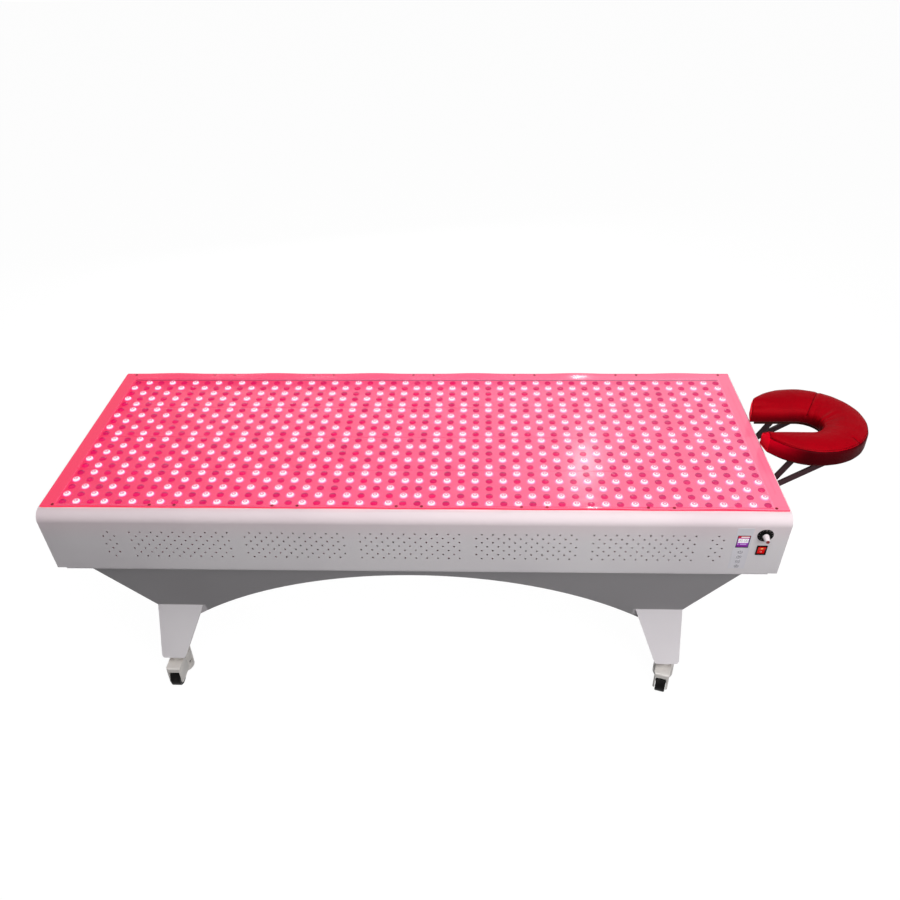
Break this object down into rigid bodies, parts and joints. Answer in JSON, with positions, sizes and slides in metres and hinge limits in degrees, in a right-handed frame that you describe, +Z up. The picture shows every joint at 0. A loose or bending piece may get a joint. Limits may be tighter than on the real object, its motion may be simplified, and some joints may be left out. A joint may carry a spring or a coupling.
{
  "type": "red light therapy bed",
  "caption": "Light therapy bed: lens field under a clear cover in a folded sheet cabinet on an arched base with levelling casters, face headrest and front controls.",
  "frame": {"origin": "on the floor under the middle of the cabinet", "axes": "+X along the bed to the headrest, -Y out of the front face with the controls, +Z up"},
  "size_m": [2.183, 0.7528, 0.737],
  "materials": {
    "powder_coat": "fine satin powder coat, white",
    "frame_steel": "grey primer",
    "tray_metal": "plain sheet",
    "board_face": "white solder mask lit pink by the lamps",
    "lit_lens": "lit red LED lens, emissive",
    "dark_lens": "clear LED lens over an infrared emitter, unlit to the eye",
    "clear_cover": "clear polished sheet",
    "zinc_screw": "zinc plated",
    "yellow_zinc": "yellow zinc plated",
    "caster_ivory": "ivory enamel on die casting",
    "black_nylon": "moulded nylon",
    "level_dial": "moulded red thumb dial",
    "pad_rubber": "moulded rubber",
    "overlay_film": "printed polyester film",
    "button_film": "moulded keys",
    "screen": null,
    "black_plastic": "moulded black plastic",
    "knob_white": "moulded white plastic",
    "cap_red": "moulded dark red cap",
    "rocker_red": "lit red rocker, emissive",
    "circuit_green": "solder mask",
    "plain_metal": "plain metal case",
    "wire_sleeve": "sleeved wires",
    "post_metal": "drawn tube",
    "bar_brown": "dark brown paint",
    "board_brown": "brown stained plywood",
    "red_leather": "red upholstery leather with sewn seams"
  },
  "bodies": {
    "bed": {"front_panel": "powder_coat", "rear_panel": "powder_coat", "head_end_panel": "powder_coat", "foot_end_panel": "powder_coat", "bottom_pan": "powder_coat", "front_skirt": "powder_coat", "rear_skirt": "powder_coat", "front_legs": "powder_coat", "rear_legs": "powder_coat", "inner_frame": "frame_steel", "headrest_sockets": "frame_steel", "led_tray": "tray_metal", "led_boards": "board_face", "red_lenses": "lit_lens", "infrared_lenses": "dark_lens", "top_cover": "clear_cover", "cover_screws": "zinc_screw", "caster_stems": "yellow_zinc", "control_overlay": "overlay_film", "display_screen": "screen", "dial_plate": "black_plastic", "rocker_bezel": "black_plastic", "mains_inlet": "black_plastic", "fan_frames": "black_plastic", "control_board": "circuit_green", "power_supplies": "plain_metal", "potentiometer": "plain_metal", "wiring_loom": "wire_sleeve"},
    "fan_rotor_1": {"fan_rotor_1": "black_plastic"},
    "fan_rotor_2": {"fan_rotor_2": "black_plastic"},
    "rocker": {"rocker": "rocker_red"},
    "intensity_knob": {"intensity_knob": "knob_white", "knob_cap": "cap_red"},
    "button_1": {"button_1": "button_film"},
    "button_2": {"button_2": "button_film"},
    "button_3": {"button_3": "button_film"},
    "button_4": {"button_4": "button_film"},
    "headrest_carrier": {"headrest_posts": "post_metal", "pivot_bolts": "zinc_screw"},
    "headrest_top": {"headrest_bars": "bar_brown", "headrest_struts": "bar_brown", "headrest_platform": "board_brown", "headrest_cushion": "red_leather", "platform_screws": "zinc_screw"},
    "caster_front_left_swivel": {"caster_front_left_housing": "caster_ivory"},
    "caster_front_left_wheel": {"caster_front_left_wheel": "black_nylon"},
    "caster_front_left_dial": {"caster_front_left_dial": "level_dial"},
    "caster_front_left_pad": {"caster_front_left_pad": "pad_rubber"},
    "caster_front_right_swivel": {"caster_front_right_housing": "caster_ivory"},
    "caster_front_right_wheel": {"caster_front_right_wheel": "black_nylon"},
    "caster_front_right_dial": {"caster_front_right_dial": "level_dial"},
    "caster_front_right_pad": {"caster_front_right_pad": "pad_rubber"},
    "caster_rear_left_swivel": {"caster_rear_left_housing": "caster_ivory"},
    "caster_rear_left_wheel": {"caster_rear_left_wheel": "black_nylon"},
    "caster_rear_left_dial": {"caster_rear_left_dial": "level_dial"},
    "caster_rear_left_pad": {"caster_rear_left_pad": "pad_rubber"},
    "caster_rear_right_swivel": {"caster_rear_right_housing": "caster_ivory"},
    "caster_rear_right_wheel": {"caster_rear_right_wheel": "black_nylon"},
    "caster_rear_right_dial": {"caster_rear_right_dial": "level_dial"},
    "caster_rear_right_pad": {"caster_rear_right_pad": "pad_rubber"}
  },
  "joints": [
    {"name": "fan_1_spin", "type": "hinge", "parent": "bed", "child": "fan_rotor_1", "pos_m": [-0.56, 0.13, 0.48], "axis": [0, 0, 1], "continuous": true},
    {"name": "fan_2_spin", "type": "hinge", "parent": "bed", "child": "fan_rotor_2", "pos_m": [0.56, 0.13, 0.48], "axis": [0, 0, 1], "continuous": true},
    {"name": "rocker_press", "type": "hinge", "parent": "bed", "child": "rocker", "pos_m": [0.8913, -0.3522, 0.55702], "axis": [1, 0, 0], "range_deg": [-18, 0]},
    {"name": "knob_turn", "type": "hinge", "parent": "bed", "child": "intensity_knob", "pos_m": [0.8905, -0.35863, 0.6096], "axis": [0, -0.9965, -0.0837], "range_deg": [-150, 150]},
    {"name": "button_1_press", "type": "slide", "parent": "bed", "child": "button_1", "axis": [0, 0.9965, 0.0837], "range_m": [0, 0.0008], "stiffness_N_per_m": 600},
    {"name": "button_2_press", "type": "slide", "parent": "bed", "child": "button_2", "axis": [0, 0.9965, 0.0837], "range_m": [0, 0.0008], "stiffness_N_per_m": 600},
    {"name": "button_3_press", "type": "slide", "parent": "bed", "child": "button_3", "axis": [0, 0.9965, 0.0837], "range_m": [0, 0.0008], "stiffness_N_per_m": 600},
    {"name": "button_4_press", "type": "slide", "parent": "bed", "child": "button_4", "axis": [0, 0.9965, 0.0837], "range_m": [0, 0.0008], "stiffness_N_per_m": 600},
    {"name": "headrest_slide", "type": "slide", "parent": "bed", "child": "headrest_carrier", "axis": [1, 0, 0], "range_m": [0, 0.12]},
    {"name": "headrest_tilt", "type": "hinge", "parent": "headrest_carrier", "child": "headrest_top", "pos_m": [0.977, 0, 0.571], "axis": [0, 1, 0], "range_deg": [0, 35]},
    {"name": "caster_front_left_turn", "type": "hinge", "parent": "bed", "child": "caster_front_left_swivel", "pos_m": [-0.716, -0.308, 0.085], "axis": [0, 0, 1], "continuous": true},
    {"name": "caster_front_left_roll", "type": "hinge", "parent": "caster_front_left_swivel", "child": "caster_front_left_wheel", "pos_m": [-0.716, -0.338, 0.03], "axis": [1, 0, 0], "continuous": true},
    {"name": "caster_front_left_level", "type": "hinge", "parent": "caster_front_left_swivel", "child": "caster_front_left_dial", "pos_m": [-0.716, -0.284, 0.037], "axis": [0, 0, 1], "range_deg": [0, 2160]},
    {"name": "caster_front_left_foot", "type": "slide", "parent": "caster_front_left_swivel", "child": "caster_front_left_pad", "axis": [0, 0, -1], "range_m": [0, 0.012]},
    {"name": "caster_front_right_turn", "type": "hinge", "parent": "bed", "child": "caster_front_right_swivel", "pos_m": [0.716, -0.308, 0.085], "axis": [0, 0, 1], "continuous": true},
    {"name": "caster_front_right_roll", "type": "hinge", "parent": "caster_front_right_swivel", "child": "caster_front_right_wheel", "pos_m": [0.70723, -0.33669, 0.03], "axis": [0.9563, -0.2924, 0], "continuous": true},
    {"name": "caster_front_right_level", "type": "hinge", "parent": "caster_front_right_swivel", "child": "caster_front_right_dial", "pos_m": [0.72302, -0.28505, 0.037], "axis": [0, 0, 1], "range_deg": [0, 2160]},
    {"name": "caster_front_right_foot", "type": "slide", "parent": "caster_front_right_swivel", "child": "caster_front_right_pad", "axis": [0, 0, -1], "range_m": [0, 0.012]},
    {"name": "caster_rear_left_turn", "type": "hinge", "parent": "bed", "child": "caster_rear_left_swivel", "pos_m": [-0.716, 0.308, 0.085], "axis": [0, 0, 1], "continuous": true},
    {"name": "caster_rear_left_roll", "type": "hinge", "parent": "caster_rear_left_swivel", "child": "caster_rear_left_wheel", "pos_m": [-0.70823, 0.33698, 0.03], "axis": [-0.9659, 0.2588, 0], "continuous": true},
    {"name": "caster_rear_left_level", "type": "hinge", "parent": "caster_rear_left_swivel", "child": "caster_rear_left_dial", "pos_m": [-0.72221, 0.28482, 0.037], "axis": [0, 0, 1], "range_deg": [0, 2160]},
    {"name": "caster_rear_left_foot", "type": "slide", "parent": "caster_rear_left_swivel", "child": "caster_rear_left_pad", "axis": [0, 0, -1], "range_m": [0, 0.012]},
    {"name": "caster_rear_right_turn", "type": "hinge", "parent": "bed", "child": "caster_rear_right_swivel", "pos_m": [0.716, 0.308, 0.085], "axis": [0, 0, 1], "continuous": true},
    {"name": "caster_rear_right_roll", "type": "hinge", "parent": "caster_rear_right_swivel", "child": "caster_rear_right_wheel", "pos_m": [0.70574, 0.33619, 0.03], "axis": [-0.9397, -0.342, 0], "continuous": true},
    {"name": "caster_rear_right_level", "type": "hinge", "parent": "caster_rear_right_swivel", "child": "caster_rear_right_dial", "pos_m": [0.72421, 0.28545, 0.037], "axis": [0, 0, 1], "range_deg": [0, 2160]},
    {"name": "caster_rear_right_foot", "type": "slide", "parent": "caster_rear_right_swivel", "child": "caster_rear_right_pad", "axis": [0, 0, -1], "range_m": [0, 0.012]}
  ],
  "couplings": [
    {"joint": "caster_front_left_foot", "follows": "caster_front_left_level", "m_per_rad": 0.00031831},
    {"joint": "caster_front_right_foot", "follows": "caster_front_right_level", "m_per_rad": 0.00031831},
    {"joint": "caster_rear_left_foot", "follows": "caster_rear_left_level", "m_per_rad": 0.00031831},
    {"joint": "caster_rear_right_foot", "follows": "caster_rear_right_level", "m_per_rad": 0.00031831}
  ]
}
